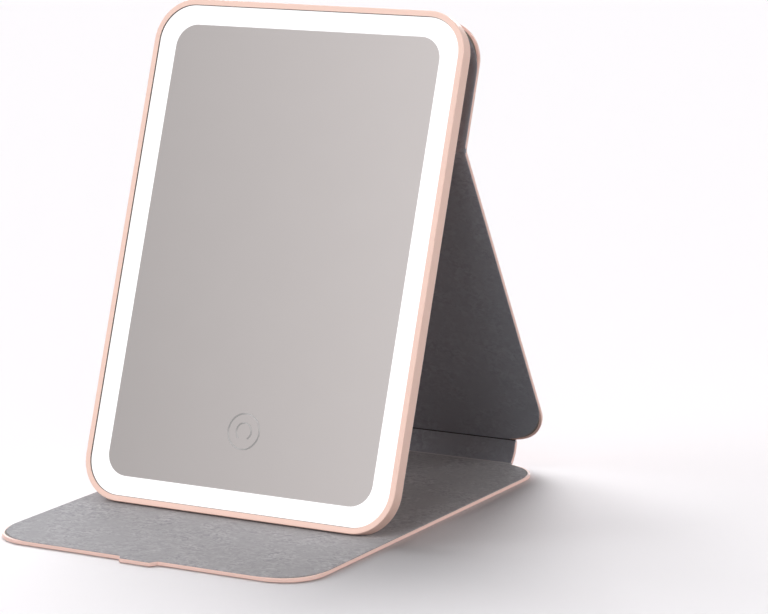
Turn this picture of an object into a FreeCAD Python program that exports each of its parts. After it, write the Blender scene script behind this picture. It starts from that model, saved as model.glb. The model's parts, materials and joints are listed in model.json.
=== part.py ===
"""Lighted makeup mirror on a folding folio stand.

The frame is +Z up, +Y to the rear, with the origin at the centre of the base panel's underside.
"""
import FreeCAD, Part
import math
import os

Vector = FreeCAD.Vector

# Mirror unit, outside
mirror_width = 170.0
mirror_height = 246.0
mirror_corner_radius = 20.9
rim_depth = 7.6
rim_wall = 2.2
rim_rear_radius = 0.8
rim_front_radius = 0.5
sole_wall = 0.6
lip_width = 2.8
lip_thickness = 0.7
lean_angle = 19.0

# Mirror unit, front face
face_thickness = 2.0
glass_inset = 12.5
glass_corner_radius = 11.0
glass_gap = 0.1
face_clearance = 0.2
touch_height = 40.6
touch_outer_diameter = 17.6
touch_inner_diameter = 8.8
touch_line_width = 0.7
touch_line_depth = 0.15
touch_line_clearance = 0.05
touch_opening_angle = 70.0

# Mirror unit, light channel and tray
channel_wall = 1.2
tray_floor = 0.8
tray_post_diameter = 5.0
glass_ledge = 0.7
led_board_width = 6.4
led_board_thickness = 0.6
led_width = 2.8
led_length = 3.5
led_height = 0.7
led_pitch = 16.0
support_rib_width = 1.6
support_rib_spacing = 44.0

# Mirror unit, rear shell
shell_depth = 7.2
shell_wall = 1.5
shell_inset = 7.5
shell_corner_radius = 16.0
shell_edge_radius = 2.5
screw_inset = 9.5
screw_head_diameter = 4.2
screw_head_height = 1.3
screw_shank_diameter = 2.2
screw_clearance = 0.2
screw_boss_diameter = 6.4
screw_bite = 2.4
screw_slot_depth = 0.6
screw_slot_width = 0.6
screw_slot_length = 2.8
bonding_pad_thickness = 1.0
bonding_pad_side_margin = 19.0
bonding_pad_end_margin = 11.0

# Mirror unit, electric parts
board_height = 34.0
board_thickness = 1.0
board_standoff = 1.2
board_wall_clearance = 0.6
board_right_reach = 14.0
chip_size = 7.0
chip_height = 1.1
chip_edge_inset = 7.0
chip_place_shares = (0.3, 0.5, 0.7)
battery_width = 92.0
battery_height = 62.0
battery_thickness = 5.0
battery_edge_radius = 2.0
battery_gap = 16.4
tape_thickness = 0.4
tape_margin = 6.0
port_width = 8.94
port_height = 3.26
port_length = 7.4
port_wall = 0.35
port_tongue_height = 0.7
port_clearance = 0.25
sensor_diameter = 14.0
sensor_pad_thickness = 0.3
sensor_stem_diameter = 4.0
sensor_hole_clearance = 1.0
keeper_diameter = 12.0
keeper_thickness = 0.8
lead_diameter = 1.2
lead_spacing = 2.4
lead_lap = 3.0

# Folio cover
panel_corner_radius = 20.5
skin_thickness = 0.6
skin_rim = 1.2
skin_edge_radius = 0.3
skin_top_radius = 0.2
stiffener_thickness = 1.15
lining_thickness = 0.35
lining_inset = 0.25
lining_corner_gain = 4.5
lining_edge_radius = 0.15
layer_gap = 0.05
base_depth = 235.8
mirror_setback = 76.4
foot_clearance = 0.25
upper_height = 62.2
upper_drop = 0.8
tab_width = 21.0
tab_reach = 3.6
tab_slope = 2.4
magnet_diameter = 10.0
magnet_front_inset = 11.0
magnet_side_inset = 35.0
keeper_top_inset = 20.0

# Creases between the panels
spine_side_inset = 19.2
spine_setback = 5.8
spine_rise = 11.45
spine_turn = 50.0
crease_clearance = 0.3
crease_flat = 0.8

# Every cut runs past the solid by this much
overrun = 2.0

# How far the middle of a quarter arc lies from its corner, along each side
arc_middle_share = 1 - math.sqrt(0.5)

X_AXIS = Vector(1, 0, 0)
Y_AXIS = Vector(0, 1, 0)
Z_AXIS = Vector(0, 0, 1)


# Outline tools

def rounded_outline(x_low, x_high, y_low, y_high, radii):
    """Closed wire in the XY plane; radii are given from the low corner, counter-clockwise."""
    corners = [(x_low, y_low), (x_high, y_low), (x_high, y_high), (x_low, y_high)]
    steps = [(1, 0), (0, 1), (-1, 0), (0, -1)]
    edges = []
    previous = None
    first = None
    for index, (corner, radius) in enumerate(zip(corners, radii)):
        into = steps[index - 1]
        out = steps[index]
        start = Vector(corner[0] - into[0] * radius, corner[1] - into[1] * radius, 0)
        end = Vector(corner[0] + out[0] * radius, corner[1] + out[1] * radius, 0)
        if previous is not None:
            edges.append(Part.LineSegment(previous, start).toShape())
        else:
            first = start
        if radius > 0:
            bow = radius * arc_middle_share
            middle = Vector(
                corner[0] + (out[0] - into[0]) * bow,
                corner[1] + (out[1] - into[1]) * bow, 0)
            edges.append(Part.Arc(start, middle, end).toShape())
        previous = end
    edges.append(Part.LineSegment(previous, first).toShape())
    return Part.Wire(edges)


def plate(x_low, x_high, y_low, y_high, z_low, z_high, radii):
    face = Part.Face(rounded_outline(x_low, x_high, y_low, y_high, radii))
    face.translate(Vector(0, 0, z_low))
    return face.extrude(Vector(0, 0, z_high - z_low))


def shaft(x, y, z_low, z_high, diameter):
    return Part.makeCylinder(diameter / 2, z_high - z_low, Vector(x, y, z_low), Z_AXIS)


def ring(x, y, z_low, z_high, outer_diameter, inner_diameter):
    outer = shaft(x, y, z_low, z_high, outer_diameter)
    return outer.cut(shaft(x, y, z_low - overrun, z_high + overrun, inner_diameter))


def edges_at_height(shape, height):
    """Edges that lie wholly in the plane z = height."""
    tolerance = layer_gap / 2
    found = []
    for edge in shape.Edges:
        box = edge.BoundBox
        if abs(box.ZMin - height) < tolerance and abs(box.ZMax - height) < tolerance:
            found.append(edge)
    return found


def round_edges_at(shape, height, radius):
    return shape.makeFillet(radius, edges_at_height(shape, height))


# Places of the three creases, as (y, z) points on the section through x = 0

panel_width = mirror_width
spine_width = panel_width - 2 * spine_side_inset
fold_height = mirror_height - upper_height
board_top = skin_thickness + stiffener_thickness
panel_thickness = board_top + lining_thickness
crease_radius = panel_thickness / 2
crease_reach = crease_radius + crease_clearance
lean = math.radians(lean_angle)

base_front = -base_depth / 2
base_rear = base_depth / 2
base_crease_point = Vector(0, base_rear + crease_flat, panel_thickness / 2)
lower_crease_point = base_crease_point + Vector(0, spine_setback, spine_rise)

sole_height = panel_thickness + foot_clearance
sole_lift = rim_depth * math.sin(lean) - (rim_wall - sole_wall) * math.cos(lean)
mirror_foot = Vector(0, base_front + mirror_setback, sole_height + sole_lift)

shell_rear = rim_depth + shell_depth
lining_plane = shell_rear + bonding_pad_thickness
panel_middle_plane = lining_plane + panel_thickness / 2
mirror_up = Vector(0, math.sin(lean), math.cos(lean))
mirror_back = Vector(0, math.cos(lean), -math.sin(lean))
fold_point = mirror_foot + mirror_up * fold_height + mirror_back * panel_middle_plane

lower_run = fold_point - lower_crease_point
lower_span = lower_run.Length
lower_tilt = math.degrees(math.atan2(lower_run.z, lower_run.y))


def placed(shape, origin, tilt):
    """Turn a flat shape about X by the tilt, then carry its origin to the point."""
    moved = shape.copy()
    turn = FreeCAD.Rotation(X_AXIS, tilt)
    moved.Placement = FreeCAD.Placement(origin, turn).multiply(moved.Placement)
    return moved


def on_mirror(shape):
    """Mirror pieces are drawn flat: y is height up the mirror, z is minus the depth behind its front."""
    return placed(shape, mirror_foot, 90.0 - lean_angle)


def mirror_plate(inset, depth_low, depth_high, radius):
    half = mirror_width / 2 - inset
    return plate(-half, half, inset, mirror_height - inset, -depth_high, -depth_low, [radius] * 4)


def inner_radius(inset):
    return mirror_corner_radius - inset


# Depths behind the front of the rim

face_front = lip_thickness
face_rear = face_front + face_thickness
tray_rear = rim_depth - shell_wall
tray_front = tray_rear - tray_floor
led_board_front = tray_front - led_board_thickness
led_front = led_board_front - led_height
cavity_rear = shell_rear - shell_wall
board_front = tray_rear + board_standoff
board_rear = board_front + board_thickness
face_inset = rim_wall + face_clearance
channel_middle_inset = (lip_width + glass_inset) / 2


# Rim and front face

def front_bezel():
    body = mirror_plate(0, 0, rim_depth, mirror_corner_radius)
    body = round_edges_at(body, 0, rim_front_radius)
    body = round_edges_at(body, -rim_depth, rim_rear_radius)
    window = mirror_plate(lip_width, -overrun, lip_thickness + overrun, inner_radius(lip_width))
    room = mirror_plate(rim_wall, lip_thickness, rim_depth + overrun, inner_radius(rim_wall))
    return body.cut(window).cut(room)


def level_sole(rim):
    """Cut the foot of the leaning rim level, so that it stands flat on the base."""
    below = Part.makeBox(
        mirror_width + 2 * overrun, rim_depth + 2 * overrun, rim_depth,
        Vector(-mirror_width / 2 - overrun, mirror_foot.y - overrun, sole_height - rim_depth))
    return rim.cut(below)


def touch_mark(clearance):
    """Outer ring and an inner ring that is open at the bottom, sunk in the glass."""
    low = -face_front - touch_line_depth
    high = -face_front
    line = touch_line_width + 2 * clearance
    outer = ring(
        0, touch_height, low, high,
        touch_outer_diameter + 2 * clearance, touch_outer_diameter + 2 * clearance - 2 * line)
    inner = ring(
        0, touch_height, low, high,
        touch_inner_diameter + 2 * clearance, touch_inner_diameter + 2 * clearance - 2 * line)
    reach = touch_inner_diameter
    half_opening = math.radians(touch_opening_angle / 2)
    centre = Vector(0, touch_height, low - overrun)
    corners = [
        centre,
        centre + Vector(-reach * math.sin(half_opening), -reach * math.cos(half_opening), 0),
        centre + Vector(reach * math.sin(half_opening), -reach * math.cos(half_opening), 0),
        centre]
    wedge = Part.Face(Part.makePolygon(corners)).extrude(Vector(0, 0, high - low + 2 * overrun))
    return [outer, inner.cut(wedge)]


def mirror_glass():
    body = mirror_plate(glass_inset, face_front, face_rear, glass_corner_radius)
    for line in touch_mark(touch_line_clearance):
        body = body.cut(line)
    return body


def touch_ring():
    return Part.makeCompound(touch_mark(0))


def light_diffuser():
    body = mirror_plate(face_inset, face_front, face_rear, inner_radius(face_inset))
    hole = mirror_plate(
        glass_inset - glass_gap, face_front - overrun, face_rear + overrun, glass_corner_radius + glass_gap)
    return body.cut(hole)


# Light channel, tray and light sources

def channel_ring(outer_inset, inner_inset, depth_low, depth_high, inner_corner):
    body = mirror_plate(outer_inset, depth_low, depth_high, inner_radius(outer_inset))
    return body.cut(mirror_plate(inner_inset, depth_low - overrun, depth_high + overrun, inner_corner))


def screw_places():
    half = mirror_width / 2 - shell_inset - screw_inset
    low = shell_inset + screw_inset
    high = mirror_height - shell_inset - screw_inset
    return [(-half, low), (half, low), (half, high), (-half, high)]


def board_edges():
    left = -mirror_width / 2 + shell_inset + shell_wall + board_wall_clearance
    return left, board_right_reach, touch_height - board_height / 2, touch_height + board_height / 2


def board_posts():
    left, right, low, high = board_edges()
    inset = tray_post_diameter / 2
    return [(x, y) for x in (left + inset, right - inset) for y in (low + inset, high - inset)]


def reflector_tray():
    body = mirror_plate(face_inset, tray_front, tray_rear, inner_radius(face_inset))
    outer_wall = channel_ring(
        face_inset, face_inset + channel_wall, face_rear, tray_front, inner_radius(face_inset + channel_wall))
    ledge_outer = glass_inset - glass_ledge
    ledge_inner = ledge_outer + channel_wall + glass_ledge
    inner_wall = channel_ring(
        ledge_outer, ledge_inner, face_rear, tray_front, glass_corner_radius)
    body = body.fuse(outer_wall).fuse(inner_wall)
    half = mirror_width / 2 - ledge_inner
    rib_count = int((mirror_height - 2 * ledge_inner) // support_rib_spacing)
    for index in range(1, rib_count + 1):
        middle = ledge_inner + index * (mirror_height - 2 * ledge_inner) / (rib_count + 1)
        rib = plate(
            -half, half, middle - support_rib_width / 2, middle + support_rib_width / 2,
            -tray_front, -face_rear, [0] * 4)
        body = body.fuse(rib)
    for x, y in screw_places():
        body = body.fuse(shaft(x, y, -tray_rear - screw_bite, -tray_rear, screw_boss_diameter))
        body = body.cut(shaft(
            x, y, -tray_rear - screw_bite - overrun, -tray_rear, screw_shank_diameter + screw_clearance))
    for x, y in board_posts():
        body = body.fuse(shaft(x, y, -board_front, -tray_rear, tray_post_diameter))
    sensor_hole = sensor_diameter + 2 * sensor_hole_clearance
    body = body.cut(shaft(0, touch_height, -tray_rear - overrun, -face_rear + overrun, sensor_hole))
    lead_low = lead_height() - lead_diameter
    lead_high = lead_height() + lead_diameter
    body = body.cut(plate(
        lead_left() - lead_diameter, lead_left() + lead_spacing + lead_diameter, lead_low, lead_high,
        -tray_rear - overrun, -tray_front + overrun, [lead_diameter / 2] * 4))
    return body.removeSplitter()


def led_board():
    outer = channel_middle_inset - led_board_width / 2
    inner = channel_middle_inset + led_board_width / 2
    return channel_ring(outer, inner, led_board_front, tray_front, inner_radius(inner))


def leds():
    """A row of light chips along each straight side of the board."""
    chips = []
    inset = channel_middle_inset
    side_run = mirror_height - 2 * mirror_corner_radius
    end_run = mirror_width - 2 * mirror_corner_radius
    side_count = int(side_run // led_pitch)
    end_count = int(end_run // led_pitch)
    half = mirror_width / 2 - inset
    for index in range(side_count + 1):
        y = mirror_height / 2 + (index - side_count / 2) * led_pitch
        for x in (-half, half):
            chips.append(plate(
                x - led_width / 2, x + led_width / 2, y - led_length / 2, y + led_length / 2,
                -led_board_front, -led_front, [0] * 4))
    for index in range(end_count + 1):
        x = (index - end_count / 2) * led_pitch
        for y in (inset, mirror_height - inset):
            chips.append(plate(
                x - led_length / 2, x + led_length / 2, y - led_width / 2, y + led_width / 2,
                -led_board_front, -led_front, [0] * 4))
    return Part.makeCompound(chips)


# Electric parts behind the tray

def control_board():
    left, right, low, high = board_edges()
    return plate(left, right, low, high, -board_rear, -board_front, [tray_post_diameter / 2] * 4)


def board_chips():
    left, right, low, high = board_edges()
    chips = []
    top = high - chip_edge_inset
    for share in chip_place_shares:
        x = left + share * (right - left)
        chips.append(plate(
            x - chip_size / 2, x + chip_size / 2, top - chip_size, top,
            -board_rear - chip_height, -board_rear, [0] * 4))
    return Part.makeCompound(chips)


def port_left():
    return -mirror_width / 2 + shell_inset


def port_block(grow, x_low, x_high):
    """Rounded bar of the charging inlet's outline, running along X."""
    low = touch_height - port_width / 2 - grow
    high = touch_height + port_width / 2 + grow
    front = -board_rear + grow
    rear = -board_rear - port_height - grow
    radius = (front - rear) / 2
    length = x_high - x_low
    middle = Part.makeBox(
        length, high - low - 2 * radius, 2 * radius, Vector(x_low, low + radius, rear))
    for y in (low + radius, high - radius):
        middle = middle.fuse(Part.makeCylinder(radius, length, Vector(x_low, y, rear + radius), X_AXIS))
    return middle.removeSplitter()


def charging_port():
    left = port_left()
    body = port_block(0, left, left + port_length)
    body = body.cut(port_block(-port_wall, left - overrun, left + port_length - port_wall))
    middle = -board_rear - port_height / 2
    tongue_half = port_width / 2 - 2 * port_wall - port_tongue_height
    tongue = Part.makeBox(
        port_length - 2 * port_wall, 2 * tongue_half, port_tongue_height,
        Vector(left + port_wall, touch_height - tongue_half, middle - port_tongue_height / 2))
    return body.fuse(tongue).removeSplitter()


def touch_sensor():
    pad = shaft(0, touch_height, -face_rear - sensor_pad_thickness, -face_rear, sensor_diameter)
    stem = shaft(0, touch_height, -board_front, -face_rear - sensor_pad_thickness, sensor_stem_diameter)
    return pad.fuse(stem).removeSplitter()


def battery_base():
    return board_edges()[3] + battery_gap


def battery_plate(margin, depth_low, depth_high):
    half = battery_width / 2 - margin
    return plate(
        -half, half, battery_base() + margin, battery_base() + battery_height - margin,
        -depth_high, -depth_low, [battery_edge_radius] * 4)


def battery_tape():
    return battery_plate(tape_margin, tray_rear, tray_rear + tape_thickness)


def battery():
    front = tray_rear + tape_thickness
    body = battery_plate(0, front, front + battery_thickness)
    body = round_edges_at(body, -front, battery_edge_radius / 2)
    return round_edges_at(body, -front - battery_thickness, battery_edge_radius / 2)


def lead_left():
    return board_right_reach - tray_post_diameter * 2 - lead_spacing


def lead_height():
    return shell_inset + shell_wall + lead_diameter


def light_leads():
    """Pair of wires from the board's lower edge, through the tray, to the back of the light board."""
    leads = []
    for x in (lead_left(), lead_left() + lead_spacing):
        end = lead_height()
        start = board_edges()[2] + lead_diameter
        back = board_rear + lead_diameter / 2
        bend = lead_diameter
        path = Part.Wire([
            Part.LineSegment(Vector(x, start, -back), Vector(x, end + bend, -back)).toShape(),
            Part.Arc(
                Vector(x, end + bend, -back),
                Vector(x, end + bend * arc_middle_share, -back + bend * arc_middle_share),
                Vector(x, end, -back + bend)).toShape(),
            Part.LineSegment(Vector(x, end, -back + bend), Vector(x, end, -tray_front)).toShape()])
        section = Part.Wire(Part.makeCircle(lead_diameter / 2, Vector(x, start, -back), Y_AXIS))
        leads.append(path.makePipeShell([section], True, False))
    return Part.makeCompound(leads)


def battery_leads():
    """Pair of straight wires from the battery's lower edge, soldered flat to the board."""
    back = board_rear + lead_diameter / 2
    start = board_edges()[3] - lead_lap
    return Part.makeCompound([
        Part.makeCylinder(lead_diameter / 2, battery_base() - start, Vector(x, start, -back), Y_AXIS)
        for x in (lead_left(), lead_left() + lead_spacing)])


# Magnets of the cover and the keepers that they meet once the cover lies on the mirror's face

closed_base_height = fold_height - lower_span
magnet_reach = min(
    base_depth - magnet_front_inset, mirror_height - keeper_top_inset - closed_base_height)
magnet_half_spacing = panel_width / 2 - magnet_side_inset


def keeper_places():
    height = closed_base_height + magnet_reach
    return [(-magnet_half_spacing, height), (magnet_half_spacing, height)]


def keeper_plates():
    return Part.makeCompound([
        shaft(x, y, -tray_rear - keeper_thickness, -tray_rear, keeper_diameter) for x, y in keeper_places()])


# Rear shell

def rear_shell():
    flange = mirror_plate(face_inset, tray_rear, rim_depth, inner_radius(face_inset))
    hump = mirror_plate(shell_inset, tray_rear, shell_rear, shell_corner_radius)
    hump = round_edges_at(hump, -shell_rear, shell_edge_radius)
    body = flange.fuse(hump)
    wall_inset = shell_inset + shell_wall
    body = body.cut(mirror_plate(
        wall_inset, tray_rear - overrun, cavity_rear, shell_corner_radius - shell_wall))
    for x, y in screw_places():
        boss = shaft(x, y, -cavity_rear, -tray_rear - screw_bite, screw_boss_diameter)
        body = body.fuse(boss)
        body = body.cut(shaft(
            x, y, -shell_rear - overrun, -tray_rear, screw_shank_diameter + 2 * screw_clearance))
        body = body.cut(shaft(
            x, y, -shell_rear - overrun, -shell_rear + screw_head_height,
            screw_head_diameter + 2 * screw_clearance))
    left = port_left()
    body = body.cut(port_block(port_clearance, left - overrun, left + shell_wall + overrun))
    return body.removeSplitter()


def shell_screws():
    screws = []
    seat = -shell_rear + screw_head_height
    tip = -tray_rear - screw_clearance
    for x, y in screw_places():
        head = shaft(x, y, -shell_rear, seat, screw_head_diameter)
        shank = shaft(x, y, seat, tip, screw_shank_diameter)
        screw = head.fuse(shank)
        for long_x in (True, False):
            half_x = screw_slot_length / 2 if long_x else screw_slot_width / 2
            half_y = screw_slot_width / 2 if long_x else screw_slot_length / 2
            screw = screw.cut(plate(
                x - half_x, x + half_x, y - half_y, y + half_y,
                -shell_rear - overrun, -shell_rear + screw_slot_depth, [0] * 4))
        screws.append(screw.removeSplitter())
    return Part.makeCompound(screws)


def bonding_pad():
    half = panel_width / 2 - bonding_pad_side_margin
    return plate(
        -half, half, fold_height + bonding_pad_end_margin, mirror_height - bonding_pad_end_margin,
        -lining_plane, -shell_rear, [shell_edge_radius] * 4)


# Folio panels: each is a leather tray filled by a stiffener, with a lining laid over both

def corner_list(front_radius, rear_radius, gain):
    """Radii of an outline's corners, where a square corner stays square."""
    front = max(front_radius + gain, 0) if front_radius > 0 else 0
    rear = max(rear_radius + gain, 0) if rear_radius > 0 else 0
    return [front, front, rear, rear]


def tab_block(y_front, z_low, z_high, inset):
    """Pull tab at the middle of the front edge, with sloped ends."""
    root = tab_width / 2 - inset
    tip = tab_width / 2 - tab_slope - inset
    back = y_front + panel_corner_radius
    points = [
        Vector(-root, y_front + inset, z_low),
        Vector(-tip, y_front + inset - tab_reach, z_low),
        Vector(tip, y_front + inset - tab_reach, z_low),
        Vector(root, y_front + inset, z_low),
        Vector(root, back, z_low),
        Vector(-root, back, z_low)]
    face = Part.Face(Part.makePolygon(points + points[:1]))
    return face.extrude(Vector(0, 0, z_high - z_low))


def panel_layers(y_low, y_high, corner_radii, with_tab):
    """Skin, stiffener and lining of one flat panel whose outside lies at z = 0."""
    def block(z_low, z_high, inset, corner_gain):
        half = panel_width / 2 - inset
        radii = corner_list(corner_radii[0], corner_radii[1], corner_gain)
        body = plate(-half, half, y_low + inset, y_high - inset, z_low, z_high, radii)
        if with_tab:
            body = body.fuse(tab_block(y_low, z_low, z_high, inset)).removeSplitter()
        return body

    board_inset = skin_rim + layer_gap
    skin = block(0, board_top, 0, 0)
    skin = round_edges_at(skin, 0, skin_edge_radius)
    skin = round_edges_at(skin, board_top, skin_top_radius)
    skin = skin.cut(block(skin_thickness, board_top + overrun, skin_rim, -skin_rim))
    board = block(skin_thickness, board_top, board_inset, -board_inset)
    lining = block(board_top, panel_thickness, lining_inset, lining_corner_gain)
    return skin, board, round_edges_at(lining, panel_thickness, lining_edge_radius)


def base_magnet_places():
    y = base_rear - magnet_reach
    return [(-magnet_half_spacing, y), (magnet_half_spacing, y)]


def base_magnets():
    return Part.makeCompound([
        shaft(x, y, skin_thickness, board_top, magnet_diameter) for x, y in base_magnet_places()])


def base_panel():
    radii = (panel_corner_radius, panel_corner_radius)
    skin, board, lining = panel_layers(base_front, base_rear, radii, True)
    for x, y in base_magnet_places():
        board = board.cut(shaft(x, y, 0, panel_thickness, magnet_diameter + 2 * layer_gap))
    return skin, board, lining


def lower_panel():
    radii = (panel_corner_radius, 0)
    layers = panel_layers(crease_reach, lower_span - crease_flat, radii, False)
    origin = lower_crease_point - across_panel(lower_tilt) * crease_radius
    return [placed(layer, origin, lower_tilt) for layer in layers]


def upper_panel():
    radii = (0, panel_corner_radius)
    layers = panel_layers(crease_reach, upper_height - upper_drop, radii, False)
    tilt = 90.0 - lean_angle
    origin = fold_point - across_panel(tilt) * crease_radius
    return [placed(layer, origin, tilt) for layer in layers]


def across_panel(tilt):
    """Direction from a tilted panel's outside to its lining."""
    angle = math.radians(tilt)
    return Vector(0, -math.sin(angle), math.cos(angle))


# Spine: a bowed strip between the base crease and the lower crease

spine_chord = lower_crease_point - base_crease_point
spine_half_turn = math.radians(spine_turn / 2)
spine_radius = spine_chord.Length / (2 * math.sin(spine_half_turn))
spine_rest = math.atan2(spine_chord.z, spine_chord.y)
spine_start = spine_rest - spine_half_turn
spine_centre = base_crease_point + Vector(
    0, -math.sin(spine_start) * spine_radius, math.cos(spine_start) * spine_radius)


def spine_point(radius, turned):
    angle = spine_start + turned
    return spine_centre + Vector(0, math.sin(angle) * radius, -math.cos(angle) * radius)


def spine_tangent(turned):
    angle = spine_start + turned
    return Vector(0, math.cos(angle), math.sin(angle))


def spine_sector(radius_low, radius_high, inset):
    low = spine_low_turn + inset / spine_radius
    high = spine_high_turn - inset / spine_radius
    middle = (low + high) / 2
    outer = Part.Arc(
        spine_point(radius_high, low), spine_point(radius_high, middle), spine_point(radius_high, high))
    inner = Part.Arc(
        spine_point(radius_low, high), spine_point(radius_low, middle), spine_point(radius_low, low))
    wire = Part.Wire([
        outer.toShape(),
        Part.LineSegment(spine_point(radius_high, high), spine_point(radius_low, high)).toShape(),
        inner.toShape(),
        Part.LineSegment(spine_point(radius_low, low), spine_point(radius_high, low)).toShape()])
    half = spine_width / 2 - inset
    face = Part.Face(wire)
    face.translate(Vector(-half, 0, 0))
    return face.extrude(Vector(2 * half, 0, 0))


spine_low_turn = math.asin(crease_reach / spine_radius)
spine_high_turn = 2 * spine_half_turn - math.asin(crease_flat / spine_radius)


def spine_strip():
    outside = spine_radius + panel_thickness / 2
    inside = spine_radius - panel_thickness / 2
    skin_face = outside - skin_thickness
    board_face = skin_face - stiffener_thickness
    skin = spine_sector(board_face, outside, 0)
    skin = skin.cut(spine_sector(board_face - overrun, skin_face, skin_rim))
    board = spine_sector(board_face, skin_face, skin_rim + layer_gap)
    lining = spine_sector(inside, board_face, lining_inset)
    return skin, board, lining


def crease_roll(point, width, toward_panel):
    """Leather roll on a crease, flat where it is bonded to the panel that carries it."""
    roll = Part.makeCylinder(crease_radius, width, point - X_AXIS * (width / 2), X_AXIS)
    size = 2 * panel_thickness
    block = Part.makeBox(width + 2 * overrun, size, size, Vector(-width / 2 - overrun, 0, -size / 2))
    tilt = math.degrees(math.atan2(toward_panel.z, toward_panel.y))
    return roll.cut(placed(block, point + toward_panel * crease_flat, tilt))


def unit(vector):
    return Vector(vector) * (1 / vector.Length)


def all_pieces():
    pieces = {}
    cover = {
        "base": base_panel(),
        "spine": spine_strip(),
        "lower": lower_panel(),
        "upper": upper_panel()}
    for name, layers in cover.items():
        for layer_name, layer in zip(("skin", "stiffener", "lining"), layers):
            pieces[name + "_" + layer_name] = layer
    pieces["base_magnets"] = base_magnets()
    pieces["base_crease"] = crease_roll(base_crease_point, spine_width, -Y_AXIS)
    spine_end = spine_tangent(spine_high_turn) * -1
    pieces["lower_crease"] = crease_roll(lower_crease_point, spine_width, spine_end)
    pieces["fold_crease"] = crease_roll(fold_point, panel_width, unit(lower_run) * -1)
    for maker in (
            front_bezel, mirror_glass, touch_ring, light_diffuser, reflector_tray, led_board, leds,
            control_board, board_chips, charging_port, touch_sensor, battery_tape, battery, light_leads,
            battery_leads, keeper_plates, rear_shell, shell_screws, bonding_pad):
        pieces[maker.__name__] = on_mirror(maker())
    pieces["front_bezel"] = level_sole(pieces["front_bezel"])
    return pieces


os.makedirs("parts", exist_ok=True)
for node, shape in all_pieces().items():
    shape.exportStep("parts/" + node + ".step")
    print(node, len(shape.Solids), round(shape.Volume, 1), shape.isValid())
for label, point in (
        ("base crease", base_crease_point), ("lower crease", lower_crease_point),
        ("fold", fold_point), ("mirror foot", mirror_foot)):
    print(label, round(point.y, 4), round(point.z, 4))
print("lower span", round(lower_span, 3), "lower tilt", round(lower_tilt, 3))
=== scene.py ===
"""Looks of the lighted folding makeup mirror, in metres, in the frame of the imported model."""
import json
import math

import bmesh
import bpy
from mathutils import Matrix, Vector


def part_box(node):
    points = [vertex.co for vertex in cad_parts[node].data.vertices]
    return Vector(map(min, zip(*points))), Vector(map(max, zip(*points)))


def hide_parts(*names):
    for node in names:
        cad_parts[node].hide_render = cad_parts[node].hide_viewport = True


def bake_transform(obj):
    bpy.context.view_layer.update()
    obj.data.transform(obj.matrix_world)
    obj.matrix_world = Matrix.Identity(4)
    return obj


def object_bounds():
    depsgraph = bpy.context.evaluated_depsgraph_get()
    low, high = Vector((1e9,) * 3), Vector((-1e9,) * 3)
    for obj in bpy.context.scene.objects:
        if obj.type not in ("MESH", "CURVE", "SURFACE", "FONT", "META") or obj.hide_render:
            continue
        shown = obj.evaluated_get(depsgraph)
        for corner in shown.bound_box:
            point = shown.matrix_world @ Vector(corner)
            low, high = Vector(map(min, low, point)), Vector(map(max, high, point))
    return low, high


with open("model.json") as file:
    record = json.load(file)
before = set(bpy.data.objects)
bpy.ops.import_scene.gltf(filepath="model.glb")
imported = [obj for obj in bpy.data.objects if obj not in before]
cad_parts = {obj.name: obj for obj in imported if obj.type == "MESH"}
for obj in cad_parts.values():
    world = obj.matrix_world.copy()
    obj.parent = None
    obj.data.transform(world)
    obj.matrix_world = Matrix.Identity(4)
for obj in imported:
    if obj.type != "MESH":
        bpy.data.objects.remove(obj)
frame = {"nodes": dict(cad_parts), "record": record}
nodes = frame["nodes"]
cad_low, cad_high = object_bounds()

MM = 0.001

# Colours, linear light
LEATHER_PINK = (0.92, 0.63, 0.56)
PLASTIC_PINK = (0.917, 0.628, 0.534)
# Painted shade, on the lip's inner wall and on the light border along it
LIP_SHADE = (0.10, 0.07, 0.06)
LINING_DEEP = (0.253, 0.254, 0.269)
LINING_GREY = (0.336, 0.335, 0.350)
LINING_PALE = (0.460, 0.456, 0.473)
# Pale line on the base's crease: painted highlight
LINING_HIGHLIGHT = (0.50, 0.48, 0.49)
# Dark line in the lower crease: painted shade
FOLD_SHADE = (0.05, 0.05, 0.054)
# Touch mark's line: with painted shade on two arcs, and plain
MARK_SHADED = (0.33, 0.32, 0.315)
MARK_FAINT = (0.49, 0.475, 0.47)
LIGHT_WHITE = (1.0, 0.995, 1.0)
FROST_GREY = (0.5, 0.5, 0.5)
BLACK = (0.0, 0.0, 0.0)
WHITE = (1.0, 1.0, 1.0)
MIRROR_SILVER = (0.90, 0.885, 0.885)
FLOOR_SEEN = (0.925, 0.902, 0.925)
FLOOR_UNSEEN = (0.35, 0.35, 0.35)
BACKDROP_WHITE = (1.0, 0.985, 1.0)
CARD_GREY = (1.0, 0.945, 0.934)
COOL_LAMP = (0.95, 0.985, 1.03)

# Factors on the lining's tones: on the base, and a darker, cooler copy on the panels behind the mirror,
# which is painted shade
BASE_TINT = (1.03, 0.995, 0.985)
SHADE_PAINTED_TINT = (0.87, 0.915, 0.98)

# How much of the ruffled nap shows, in the calmest and the most ruffled patches; less shows on the
# painted-shade copy
BASE_RUFFLE = (0.15, 0.9)
SHADE_PAINTED_RUFFLE = (0.05, 0.5)

# Texture scales, per metre
LEATHER_MOTTLE = 35.0
LEATHER_PEBBLE = 1100.0
LEATHER_FINE = 2600.0
LEATHER_GLOSS = 220.0
PLASTIC_DRIFT = 18.0
PLASTIC_SPARK = 5200.0
PLASTIC_GLOSS = 900.0
LINING_PATCH = 45.0
LINING_FIBRE = 420.0
LINING_NAP = 3200.0
MIRROR_HAZE = 60.0
MARK_GRAIN = 2500.0
DIFFUSER_CLOUD = 40.0

# Fibres of the lining are a little longer across the part
FIBRE_STRETCH = (0.8, 1.0, 1.0)

# A plain finish has its bump this many times finer than its grain
BUMP_RATIO = 6

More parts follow.
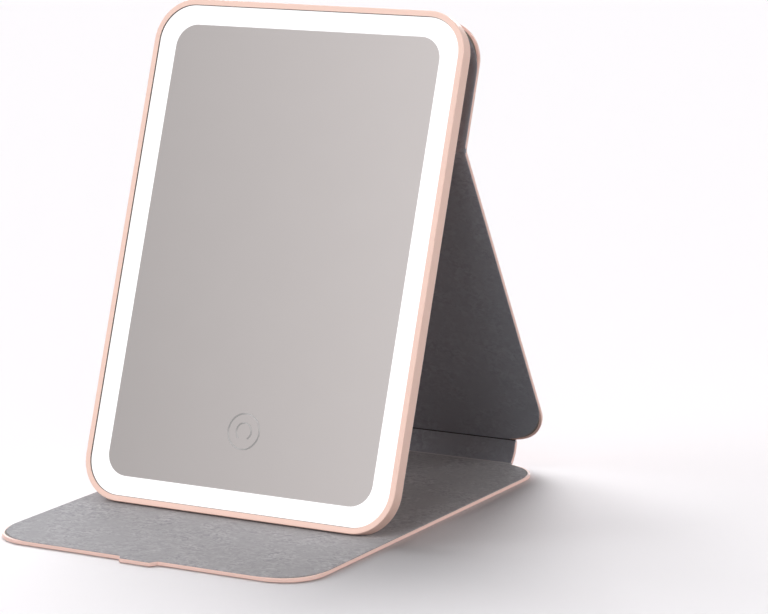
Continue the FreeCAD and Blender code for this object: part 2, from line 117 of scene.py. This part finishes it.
# Ranges of texture values that are stretched to a mix of two looks
UNIT = (0.0, 1.0)
NOISE_SPAN = (0.3, 0.7)
DRIFT_SPAN = (0.35, 0.65)
HAZE_SPAN = (0.3, 0.8)
FIBRE_SPAN = (0.36, 0.66)
PATCH_SPAN = (0.38, 0.62)
MARK_SPAN = (0.55, 0.95)

# Plain finishes: colour, metallic, least and most roughness, grain per metre
PLAIN_FINISHES = {
    "greyboard": ((0.27, 0.25, 0.22), 0.0, (0.85, 0.95), 700.0),
    "magnet": ((0.55, 0.55, 0.57), 1.0, (0.25, 0.35), 400.0),
    "white_plastic": ((0.85, 0.85, 0.84), 0.0, (0.4, 0.5), 500.0),
    "light_chip": ((0.9, 0.75, 0.25), 0.0, (0.2, 0.3), 900.0),
    "circuit_board": ((0.01, 0.10, 0.04), 0.0, (0.3, 0.4), 900.0),
    "black_plastic": ((0.012, 0.012, 0.013), 0.0, (0.4, 0.5), 900.0),
    "steel": ((0.58, 0.58, 0.59), 1.0, (0.22, 0.34), 1500.0),
    "copper": ((0.70, 0.36, 0.20), 1.0, (0.25, 0.35), 900.0),
    "battery_pouch": ((0.60, 0.61, 0.63), 1.0, (0.3, 0.4), 300.0),
    "foam_tape": ((0.05, 0.05, 0.052), 0.0, (0.85, 0.95), 2500.0),
    "wire_cover": ((0.45, 0.02, 0.015), 0.0, (0.4, 0.5), 900.0),
    # Pale line that is painted highlight
    "painted_highlight_lining": (LINING_HIGHLIGHT, 0.0, (0.85, 0.95), 900.0),
    # Painted shade in the lower crease
    "painted_fold_shade": (FOLD_SHADE, 0.0, (0.85, 0.95), 900.0),
    # Painted shade on the lip's inner wall
    "lip_wall": (LIP_SHADE, 0.0, (0.5, 0.6), 900.0),
}

# Direction, in the mirror's face, along which the touch mark's line gets the most painted shade
MARK_SHADE_SLANT = (-0.7071, 0.2302, 0.6686)

# Place of the mirror
LEAN = math.radians(19.0)
MIRROR_FOOT = Vector((0, -0.0415, 0.0033115))
MIRROR_FRONT = Vector((0, -math.cos(LEAN), math.sin(LEAN)))
MIRROR_UP = Vector((0, math.sin(LEAN), math.cos(LEAN)))
MIRROR_MIDDLE = MIRROR_FOOT + MIRROR_UP * (123.0 * MM)

# Inner outline of the rim's lip, the depths between which its wall lies, and the wall's greatest tilt
LIP_HALF_WIDTH = 82.2 * MM
LIP_HALF_HEIGHT = 120.2 * MM
LIP_CORNER = 18.1 * MM
LIP_FACE = 0.1 * MM
LIP_DEPTH = 0.7 * MM
WALL_TILT = 0.3

# Line of painted shade on the light border, along the lip
SEAT_WIDTH = 0.25 * MM
SEAT_BLUR = 0.08 * MM

# Layers and run of the bends between the cover's panels
PANEL_HALF = 1.05 * MM
SKIN_DEPTH = 0.6 * MM
BEND_RELIEF = 0.06 * MM
BEND_LAP = 0.6 * MM
BEND_STEPS = 12
BEND_SHARP = math.radians(40)

# Height of a bend's lining over the panel's middle: level with the panel, or sunk
LEVEL = PANEL_HALF - BEND_RELIEF
SUNK = -0.60 * MM

# Camera of the photograph, with angles in degrees and lens and sensor in millimetres
CAMERA_AZIMUTH = 29.361
CAMERA_ELEVATION = 10.947
CAMERA_ROLL = -0.299
CAMERA_DISTANCE = 1.4754
CAMERA_TARGET = Vector((0.0611, -0.0015, 0.10197))
CAMERA_LENS = 149.38
CAMERA_SENSOR = 36.0
CAMERA_NEAR = 0.05

# Floor, just under the part
FLOOR_HALF = 8.0
FLOOR_DROP = 0.2 * MM

# Lamps: azimuth, elevation and spread in degrees, level, tint
OBJECT_LAMPS = {
    "front_key": (-17.0, 40.0, 60.0, 0.82, WHITE),
    "front_low": (5.0, 8.0, 40.0, 0.08, WHITE),
    "left_back": (-145.0, 15.0, 50.0, 0.92, COOL_LAMP),
    "right_fill": (100.0, 15.0, 50.0, 0.54, WHITE),
}
TABLE_BOUNCE = (90.0, -25.0, 60.0, 0.30, WHITE)
FLOOR_LAMPS = {
    "floor_back": (-151.7, 43.9, 34.6, 0.88, WHITE),
    "floor_left": (-114.5, 30.8, 37.7, 0.475, WHITE),
    "floor_low": (-62.0, 9.0, 40.0, 0.64, WHITE),
    "floor_front": (28.3, 45.8, 42.0, 0.16, WHITE),
}

# Card that the mirror shows: its place as seen from the mirror, its size, and its light across it
CARD_AZIMUTH = -CAMERA_AZIMUTH
CARD_ELEVATION = 27.0
CARD_CENTRE = Vector((0, 0, 0.12))
CARD_DISTANCE = 1.2
CARD_HALF = 0.55
CARD_LEVEL = 0.658
CARD_SLOPE = (0.661, 0.236, 0.0)


# Node tools

def new_material(name):
    material = bpy.data.materials.new(name)
    material.use_nodes = True
    tree = material.node_tree
    tree.nodes.clear()
    output = tree.nodes.new("ShaderNodeOutputMaterial")
    shader = tree.nodes.new("ShaderNodeBsdfPrincipled")
    tree.links.new(shader.outputs["BSDF"], output.inputs["Surface"])
    return material, tree, shader


def add(tree, kind, **values):
    node = tree.nodes.new(kind)
    for key, value in values.items():
        setattr(node, key, value)
    return node


def place(tree, scale=(1.0, 1.0, 1.0)):
    """Object coordinates, scaled for a texture."""
    coordinates = add(tree, "ShaderNodeTexCoord")
    mapping = add(tree, "ShaderNodeMapping")
    mapping.inputs["Scale"].default_value = scale
    tree.links.new(coordinates.outputs["Object"], mapping.inputs["Vector"])
    return mapping.outputs["Vector"]


def offset_from(tree, point):
    """Object coordinates, counted from a point."""
    coordinates = add(tree, "ShaderNodeTexCoord")
    offset = add(tree, "ShaderNodeVectorMath", operation="SUBTRACT")
    offset.inputs[1].default_value = point
    tree.links.new(coordinates.outputs["Object"], offset.inputs[0])
    return offset.outputs["Vector"]


def along(tree, offset, direction):
    """How far an offset reaches along a direction, to either side."""
    dot = add(tree, "ShaderNodeVectorMath", operation="DOT_PRODUCT")
    dot.inputs[1].default_value = direction
    tree.links.new(offset, dot.inputs[0])
    reach = add(tree, "ShaderNodeMath", operation="ABSOLUTE")
    tree.links.new(dot.outputs["Value"], reach.inputs[0])
    return reach.outputs["Value"]


def past(tree, value, limit):
    """What of a value lies past a limit, at least zero."""
    over = add(tree, "ShaderNodeMath", operation="SUBTRACT")
    over.inputs[1].default_value = limit
    tree.links.new(value, over.inputs[0])
    kept = add(tree, "ShaderNodeMath", operation="MAXIMUM")
    kept.inputs[1].default_value = 0.0
    tree.links.new(over.outputs["Value"], kept.inputs[0])
    return kept.outputs["Value"]


def noise(tree, vector, scale, detail=3.0, roughness=0.55, swirl=0.0):
    node = add(tree, "ShaderNodeTexNoise")
    node.inputs["Scale"].default_value = scale
    node.inputs["Detail"].default_value = detail
    node.inputs["Roughness"].default_value = roughness
    node.inputs["Distortion"].default_value = swirl
    tree.links.new(vector, node.inputs["Vector"])
    return node.outputs["Fac"]


def spread(tree, value, source, target):
    """Value with its source range stretched to the target range."""
    node = add(tree, "ShaderNodeMapRange")
    node.inputs["From Min"].default_value = source[0]
    node.inputs["From Max"].default_value = source[1]
    node.inputs["To Min"].default_value = target[0]
    node.inputs["To Max"].default_value = target[1]
    tree.links.new(value, node.inputs["Value"])
    return node.outputs["Result"]


def mixed(tree, factor, first, second):
    """Mix of two colours, each a tuple or another node's output."""
    node = add(tree, "ShaderNodeMix", data_type="RGBA")
    for name, value in (("A", first), ("B", second)):
        socket = [s for s in node.inputs if s.name == name and s.type == "RGBA"][0]
        if isinstance(value, tuple):
            socket.default_value = (*value, 1.0)
        else:
            tree.links.new(value, socket)
    tree.links.new(factor, node.inputs["Factor"])
    return [s for s in node.outputs if s.type == "RGBA"][0]


def added(tree, first, second):
    node = add(tree, "ShaderNodeMath", operation="ADD")
    tree.links.new(first, node.inputs[0])
    tree.links.new(second, node.inputs[1])
    return node.outputs["Value"]


def bump(tree, shader, height, strength, distance):
    node = add(tree, "ShaderNodeBump")
    node.inputs["Strength"].default_value = strength
    node.inputs["Distance"].default_value = distance
    tree.links.new(height, node.inputs["Height"])
    tree.links.new(node.outputs["Normal"], shader.inputs["Normal"])


def direct_rays(tree):
    """One for rays that come from the camera, a mirror or a clear piece, else zero."""
    rays = add(tree, "ShaderNodeLightPath")
    direct = added(tree, rays.outputs["Is Camera Ray"], rays.outputs["Is Glossy Ray"])
    return added(tree, direct, rays.outputs["Is Transmission Ray"])


def shade(colour, share):
    return tuple(part * share for part in colour)


# Materials

def leather_material():
    """Smooth coated leather: a fine pebble grain and a slight mottle."""
    material, tree, shader = new_material("pink_leather")
    vector = place(tree)
    mottle = spread(tree, noise(tree, vector, LEATHER_MOTTLE, detail=4.0), NOISE_SPAN, UNIT)
    colour = mixed(tree, mottle, shade(LEATHER_PINK, 0.985), shade(LEATHER_PINK, 1.015))
    tree.links.new(colour, shader.inputs["Base Color"])
    pebbles = add(tree, "ShaderNodeTexVoronoi", feature="SMOOTH_F1")
    pebbles.inputs["Scale"].default_value = LEATHER_PEBBLE
    pebbles.inputs["Smoothness"].default_value = 0.6
    tree.links.new(vector, pebbles.inputs["Vector"])
    fine = noise(tree, vector, LEATHER_FINE, detail=2.0)
    grain = added(tree, pebbles.outputs["Distance"], fine)
    bump(tree, shader, grain, strength=0.35, distance=0.2 * MM)
    gloss = spread(tree, noise(tree, vector, LEATHER_GLOSS), NOISE_SPAN, (0.44, 0.58))
    tree.links.new(gloss, shader.inputs["Roughness"])
    shader.inputs["Specular IOR Level"].default_value = 0.4
    return material


def plastic_material():
    """Satin moulded plastic with a fine spark texture."""
    material, tree, shader = new_material("pink_plastic")
    vector = place(tree)
    drift = spread(tree, noise(tree, vector, PLASTIC_DRIFT, detail=2.0), DRIFT_SPAN, UNIT)
    colour = mixed(tree, drift, shade(PLASTIC_PINK, 0.985), shade(PLASTIC_PINK, 1.01))
    tree.links.new(colour, shader.inputs["Base Color"])
    spark = noise(tree, vector, PLASTIC_SPARK, detail=2.0)
    bump(tree, shader, spark, strength=0.06, distance=0.1 * MM)
    gloss = spread(tree, noise(tree, vector, PLASTIC_GLOSS), NOISE_SPAN, (0.36, 0.44))
    tree.links.new(gloss, shader.inputs["Roughness"])
    return material


def lining_material(name, tint, ruffle):
    """Brushed suede: short flecks of fibre in soft patches, paler where the nap is ruffled."""
    material, tree, shader = new_material(name)
    plain = place(tree)
    patches = noise(tree, plain, LINING_PATCH, detail=4.0, roughness=0.6, swirl=0.8)
    fibre = noise(tree, place(tree, FIBRE_STRETCH), LINING_FIBRE, swirl=1.2)
    nap = noise(tree, plain, LINING_NAP, detail=2.0)
    deep, grey, pale = (
        tuple(part * share for part, share in zip(tone, tint))
        for tone in (LINING_DEEP, LINING_GREY, LINING_PALE))
    ruffled = mixed(tree, spread(tree, fibre, FIBRE_SPAN, UNIT), deep, pale)
    colour = mixed(tree, spread(tree, patches, PATCH_SPAN, ruffle), grey, ruffled)
    tree.links.new(colour, shader.inputs["Base Color"])
    bump(tree, shader, added(tree, fibre, nap), strength=0.4, distance=0.2 * MM)
    shader.inputs["Roughness"].default_value = 0.92
    shader.inputs["Specular IOR Level"].default_value = 0.2
    shader.inputs["Sheen Weight"].default_value = 0.08
    shader.inputs["Sheen Roughness"].default_value = 0.5
    return material


def mirror_material():
    """Silvered glass with a very faint haze."""
    material, tree, shader = new_material("mirror")
    shader.inputs["Base Color"].default_value = (*MIRROR_SILVER, 1.0)
    shader.inputs["Metallic"].default_value = 1.0
    haze = noise(tree, place(tree), MIRROR_HAZE, detail=4.0)
    tree.links.new(spread(tree, haze, HAZE_SPAN, (0.012, 0.035)), shader.inputs["Roughness"])
    return material


def mark_material():
    """Etched line of the touch mark, with painted shade on the two arcs that lie on the mark's slant."""
    material, tree, shader = new_material("etched_mark")
    low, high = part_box("touch_ring")
    outward = add(tree, "ShaderNodeVectorMath", operation="NORMALIZE")
    tree.links.new(offset_from(tree, (low + high) / 2), outward.inputs[0])
    slant = along(tree, outward.outputs["Vector"], MARK_SHADE_SLANT)
    # Painted shade of the groove's walls, strongest on the arcs along the slant
    arc_shade = spread(tree, slant, MARK_SPAN, UNIT)
    tree.links.new(mixed(tree, arc_shade, MARK_FAINT, MARK_SHADED), shader.inputs["Base Color"])
    gloss = spread(tree, noise(tree, place(tree), MARK_GRAIN), NOISE_SPAN, (0.55, 0.65))
    tree.links.new(gloss, shader.inputs["Roughness"])
    shader.inputs["Specular IOR Level"].default_value = 0.2
    return material


def seat_shade(tree):
    """One on the narrow line of painted shade along the rim's lip, else zero."""
    offset = offset_from(tree, MIRROR_MIDDLE)
    corner = add(tree, "ShaderNodeCombineXYZ")
    for socket, direction, half in (("X", (1, 0, 0), LIP_HALF_WIDTH), ("Y", MIRROR_UP, LIP_HALF_HEIGHT)):
        reach = along(tree, offset, direction)
        tree.links.new(past(tree, reach, half - LIP_CORNER), corner.inputs[socket])
    distance = add(tree, "ShaderNodeVectorMath", operation="LENGTH")
    tree.links.new(corner.outputs["Vector"], distance.inputs[0])
    inner = LIP_CORNER - SEAT_WIDTH
    return spread(tree, distance.outputs["Value"], (inner, inner + SEAT_BLUR), UNIT)


def diffuser_material():
    """Lit frosted border, with painted shade where it goes under the rim's lip."""
    material, tree, shader = new_material("lit_diffuser")
    cloud = spread(tree, noise(tree, place(tree), DIFFUSER_CLOUD, detail=2.0), NOISE_SPAN, UNIT)
    glow = mixed(tree, cloud, shade(LIGHT_WHITE, 0.99), LIGHT_WHITE)
    seat = seat_shade(tree)
    # Painted shade: no glow and a dark colour on the line along the lip
    tree.links.new(mixed(tree, seat, glow, BLACK), shader.inputs["Emission Color"])
    tree.links.new(mixed(tree, seat, FROST_GREY, LIP_SHADE), shader.inputs["Base Color"])
    shader.inputs["Emission Strength"].default_value = 0.65
    shader.inputs["Roughness"].default_value = 0.5
    return material


def grained_material(name, colour, metallic, roughness, grain):
    """Plain moulded, foamed or metal finish whose gloss varies at the given grain."""
    material, tree, shader = new_material(name)
    vector = place(tree)
    drift = spread(tree, noise(tree, vector, grain), NOISE_SPAN, UNIT)
    tree.links.new(mixed(tree, drift, shade(colour, 0.9), colour), shader.inputs["Base Color"])
    shader.inputs["Metallic"].default_value = metallic
    tree.links.new(spread(tree, drift, UNIT, roughness), shader.inputs["Roughness"])
    bump(tree, shader, noise(tree, vector, BUMP_RATIO * grain), strength=0.1, distance=0.1 * MM)
    return material


finishes = {
    "pink_leather": leather_material(),
    "pink_plastic": plastic_material(),
    "grey_lining": lining_material("grey_lining", BASE_TINT, BASE_RUFFLE),
    # Darker, cooler copy of the lining with less nap showing: painted shade on the panels behind the
    # mirror
    "shade_painted_lining": lining_material("shade_painted_lining", SHADE_PAINTED_TINT, SHADE_PAINTED_RUFFLE),
    "mirror": mirror_material(),
    "etched_mark": mark_material(),
    "lit_diffuser": diffuser_material(),
}
for name, values in PLAIN_FINISHES.items():
    finishes[name] = grained_material(name, *values)
for entry in frame["record"]["subparts"]:
    mesh = nodes[entry["node"]].data
    mesh.materials.clear()
    mesh.materials.append(finishes[entry["material_slot"]])
# The panels behind the mirror take the painted-shade copy of the lining
for name in ("spine_lining", "lower_lining", "upper_lining"):
    nodes[name].data.materials[0] = finishes["shade_painted_lining"]


# Painted shade on the wall of the rim's lip, where it drops to the light border

def shade_lip_wall():
    """Paint shade on the lip's inner wall: its faces get a dark material."""
    bezel = nodes["front_bezel"]
    bezel.data.materials.append(finishes["lip_wall"])
    to_world = bezel.matrix_world
    for face in bezel.data.polygons:
        centre = to_world @ face.center
        normal = (to_world.to_3x3() @ face.normal).normalized()
        depth = (MIRROR_FOOT - centre).dot(MIRROR_FRONT)
        inward = normal.dot(MIRROR_MIDDLE - centre) > 0
        upright = abs(normal.dot(MIRROR_FRONT)) < WALL_TILT
        if LIP_FACE < depth < LIP_DEPTH and inward and upright:
            face.material_index = 1


shade_lip_wall()


# Mesh tools

def link_mesh(name, build):
    """New piece whose mesh the given function builds."""
    mesh = bpy.data.meshes.new(name)
    work = bmesh.new()
    build(work)
    work.to_mesh(mesh)
    work.free()
    piece = bpy.data.objects.new(name, mesh)
    bpy.context.scene.collection.objects.link(piece)
    return piece


def make_square(name, half):
    """Flat square piece around its own origin."""
    def build(work):
        corners = [(-half, -half), (half, -half), (half, half), (-half, half)]
        work.faces.new([work.verts.new((x, y, 0)) for x, y in corners])

    return link_mesh(name, build)


# Bends of leather and lining that join the panels over the creases

def bend_path(start, start_angle, end, end_angle):
    """Points and directions, in the plane of y and z, of a smooth run between two panel ends."""
    turns = [math.radians(start_angle), math.radians(end_angle)]
    first, last = (Vector((math.cos(turn), math.sin(turn))) for turn in turns)
    pull = (end - start).length / 3
    knots = [start, start + first * pull, end - last * pull, end]
    path = [(start - first * BEND_LAP, first)]
    for step in range(BEND_STEPS + 1):
        t = step / BEND_STEPS
        s = 1 - t
        point = (knots[0] * s ** 3 + knots[1] * (3 * s * s * t)
                 + knots[2] * (3 * s * t * t) + knots[3] * t ** 3)
        slope = ((knots[1] - knots[0]) * (s * s) + (knots[2] - knots[1]) * (2 * s * t)
                 + (knots[3] - knots[2]) * (t * t))
        path.append((point, slope.normalized()))
    path.append((end + last * BEND_LAP, last))
    return path


# Finishes of a bend, and their slots: leather, the painted-shade copy of the lining, a pale line of
# painted highlight, and painted shade in the fold
BEND_FINISHES = ("pink_leather", "shade_painted_lining", "painted_highlight_lining", "painted_fold_shade")
SKIN_SLOT, SHADE_PAINTED_SLOT, HIGHLIGHT_SLOT, FOLD_SHADE_SLOT = range(len(BEND_FINISHES))


def make_bend(name, start, end, width, heights, line_steps, crease):
    """Strip of leather and lining over a crease, from one panel's end to the next one's, in millimetres.

    An end is a point of y and z with the panel's angle. The lining runs from the first height to
    the second. Its first steps can carry a pale line of painted highlight, and its last ones painted
    shade.
    """
    (start, start_angle), (end, end_angle) = start, end
    start, end = Vector(start) * MM, Vector(end) * MM
    highlight_steps, fold_shade_steps = line_steps
    half = width * MM / 2
    outside = -PANEL_HALF + BEND_RELIEF
    between = -PANEL_HALF + SKIN_DEPTH

    def build(work):
        rows = []
        path = bend_path(start, start_angle, end, end_angle)
        for step, (point, slope) in enumerate(path):
            share = step / (len(path) - 1)
            inside = heights[0] + (heights[1] - heights[0]) * share ** 3
            across = Vector((-slope.y, slope.x))
            row = []
            for x in (-half, half):
                for height in (outside, min(between, inside - BEND_RELIEF), inside):
                    place_at = point + across * height
                    row.append(work.verts.new((x, place_at.x, place_at.y)))
            rows.append(row)
        for step, (low, high) in enumerate(zip(rows, rows[1:])):
            # Lining of this step: the painted-shade copy, a painted highlight near the start, or painted
            # shade near the end
            lined = SHADE_PAINTED_SLOT
            if step < highlight_steps:
                lined = HIGHLIGHT_SLOT
            elif step >= len(rows) - 1 - fold_shade_steps:
                lined = FOLD_SHADE_SLOT
            quads = [
                (low[0], high[0], high[3], low[3], SKIN_SLOT),
                (low[2], low[5], high[5], high[2], lined),
                (low[0], low[1], high[1], high[0], SKIN_SLOT),
                (low[1], low[2], high[2], high[1], lined),
                (low[3], high[3], high[4], low[4], SKIN_SLOT),
                (low[4], high[4], high[5], low[5], lined)]
            for *corners, slot in quads:
                face = work.faces.new(corners)
                face.material_index = slot
                face.smooth = True
        for row in (rows[0], rows[-1]):
            for a, b, c, d, slot in ((0, 1, 4, 3, SKIN_SLOT), (1, 2, 5, 4, SHADE_PAINTED_SLOT)):
                work.faces.new([row[a], row[b], row[c], row[d]]).material_index = slot
        bmesh.ops.recalc_face_normals(work, faces=work.faces)

    bend = link_mesh(name, build)
    bend.data.set_sharp_from_angle(angle=BEND_SHARP)
    for finish in BEND_FINISHES:
        bend.data.materials.append(finishes[finish])
    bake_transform(bend)
    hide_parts(crease)


# Base bend: painted highlight on its first steps
make_bend(
    "base_bend", start=((117.9, 1.05), 0.0), end=((119.725, 1.931), 43.24), width=131.4,
    heights=(LEVEL, LEVEL), line_steps=(9, 0), crease="base_crease")
# Lower bend: painted shade on its last steps
make_bend(
    "lower_bend", start=((124.453, 11.701), 85.12), end=((123.834, 13.674), 119.56), width=131.4,
    heights=(LEVEL, SUNK), line_steps=(0, 6), crease="lower_crease")
make_bend(
    "fold_bend", start=((34.666, 170.916), 119.56), end=((34.711, 172.888), 71.0), width=169.8,
    heights=(LEVEL, LEVEL), line_steps=(0, 0), crease="fold_crease")


# Camera, floor, background and lamps

def toward(azimuth, elevation):
    """Direction at the given angles in degrees, with azimuth zero in front and positive to the right."""
    turn, rise = math.radians(azimuth), math.radians(elevation)
    return Vector((math.sin(turn) * math.cos(rise), -math.cos(turn) * math.cos(rise), math.sin(rise)))


def make_camera():
    back = toward(CAMERA_AZIMUTH, CAMERA_ELEVATION)
    roll = math.radians(CAMERA_ROLL)
    level = (-back).cross(Vector((0, 0, 1))).normalized()
    upright = level.cross(-back)
    right = level * math.cos(roll) + upright * math.sin(roll)
    up = upright * math.cos(roll) - level * math.sin(roll)
    camera = bpy.data.objects.new("camera", bpy.data.cameras.new("camera"))
    camera.data.lens = CAMERA_LENS
    camera.data.sensor_width = CAMERA_SENSOR
    camera.data.clip_start = CAMERA_NEAR
    place_matrix = Matrix((right, up, back)).transposed().to_4x4()
    place_matrix.translation = CAMERA_TARGET + back * CAMERA_DISTANCE
    camera.matrix_world = place_matrix
    bpy.context.scene.collection.objects.link(camera)
    bpy.context.scene.camera = camera


def make_floor():
    """Pale floor that throws back less light than it shows."""
    floor = make_square("floor", FLOOR_HALF)
    floor.location.z = cad_low.z - FLOOR_DROP
    material, tree, shader = new_material("floor")
    colour = mixed(tree, direct_rays(tree), FLOOR_UNSEEN, FLOOR_SEEN)
    tree.links.new(colour, shader.inputs["Base Color"])
    shader.inputs["Roughness"].default_value = 0.9
    shader.inputs["Specular IOR Level"].default_value = 0.0
    floor.data.materials.append(material)
    return floor


def make_world():
    """White background that is seen and reflected, and gives no light."""
    world = bpy.data.worlds.new("studio")
    bpy.context.scene.world = world
    world.use_nodes = True
    tree = world.node_tree
    tree.nodes.clear()
    output = add(tree, "ShaderNodeOutputWorld")
    seen = add(tree, "ShaderNodeBackground")
    seen.inputs["Color"].default_value = (*BACKDROP_WHITE, 1.0)
    seen.inputs["Strength"].default_value = 1.0
    unseen = add(tree, "ShaderNodeBackground")
    unseen.inputs["Strength"].default_value = 0.0
    mix = add(tree, "ShaderNodeMixShader")
    tree.links.new(direct_rays(tree), mix.inputs["Fac"])
    tree.links.new(unseen.outputs["Background"], mix.inputs[1])
    tree.links.new(seen.outputs["Background"], mix.inputs[2])
    tree.links.new(mix.outputs["Shader"], output.inputs["Surface"])


def lit_group(name, pieces):
    """Collection that lamps can be held to."""
    group = bpy.data.collections.new(name)
    for piece in pieces:
        group.objects.link(piece)
    return group


def add_lamp(name, group, azimuth, elevation, spread_angle, level, tint):
    """Broad distant lamp on one group; a white face turned to it renders at the given level."""
    lamp = bpy.data.objects.new(name, bpy.data.lights.new(name, "SUN"))
    lamp.data.energy = level * math.pi
    lamp.data.color = tint
    lamp.data.angle = math.radians(spread_angle)
    lamp.rotation_mode = "QUATERNION"
    lamp.rotation_quaternion = toward(azimuth, elevation).to_track_quat("Z", "Y")
    lamp.light_linking.receiver_collection = group
    bpy.context.scene.collection.objects.link(lamp)
    return lamp


make_camera()
pieces = [piece for piece in bpy.context.scene.objects if piece.type == "MESH"]
floor = make_floor()
make_world()
object_group = lit_group("object_group", pieces)
floor_group = lit_group("floor_group", [floor])
edge_group = lit_group("edge_group", [nodes["base_skin"]])
for name, values in OBJECT_LAMPS.items():
    add_lamp(name, object_group, *values)

# Light that a white table throws back at the base's edge; the floor itself doesn't stop it
table_bounce = add_lamp("table_bounce", edge_group, *TABLE_BOUNCE)
table_bounce.light_linking.blocker_collection = object_group
for name, values in FLOOR_LAMPS.items():
    add_lamp(name, floor_group, *values)


# Reflected card: a grey studio flat in front of the mirror, to the left of the camera

def make_card():
    """Plane that only the mirror sees, shaded from grey to pale grey across its width."""
    way = toward(CARD_AZIMUTH, CARD_ELEVATION)
    card = make_square("card", CARD_HALF)
    card.location = CARD_CENTRE + way * CARD_DISTANCE
    card.rotation_mode = "QUATERNION"
    card.rotation_quaternion = way.to_track_quat("Z", "Y")
    card.visible_camera = False
    card.visible_diffuse = False
    card.visible_shadow = False
    material = bpy.data.materials.new("card")
    material.use_nodes = True
    tree = material.node_tree
    tree.nodes.clear()
    output = add(tree, "ShaderNodeOutputMaterial")
    glow = add(tree, "ShaderNodeEmission")
    glow.inputs["Color"].default_value = (*CARD_GREY, 1.0)
    coordinates = add(tree, "ShaderNodeTexCoord")
    slope = add(tree, "ShaderNodeVectorMath", operation="DOT_PRODUCT")
    slope.inputs[1].default_value = CARD_SLOPE
    tree.links.new(coordinates.outputs["Object"], slope.inputs[0])
    level = add(tree, "ShaderNodeMath", operation="ADD")
    level.inputs[1].default_value = CARD_LEVEL
    tree.links.new(slope.outputs["Value"], level.inputs[0])
    tree.links.new(level.outputs["Value"], glow.inputs["Strength"])
    tree.links.new(glow.outputs["Emission"], output.inputs["Surface"])
    card.data.materials.append(material)


make_card()

bpy.context.scene.view_settings.view_transform = "Standard"
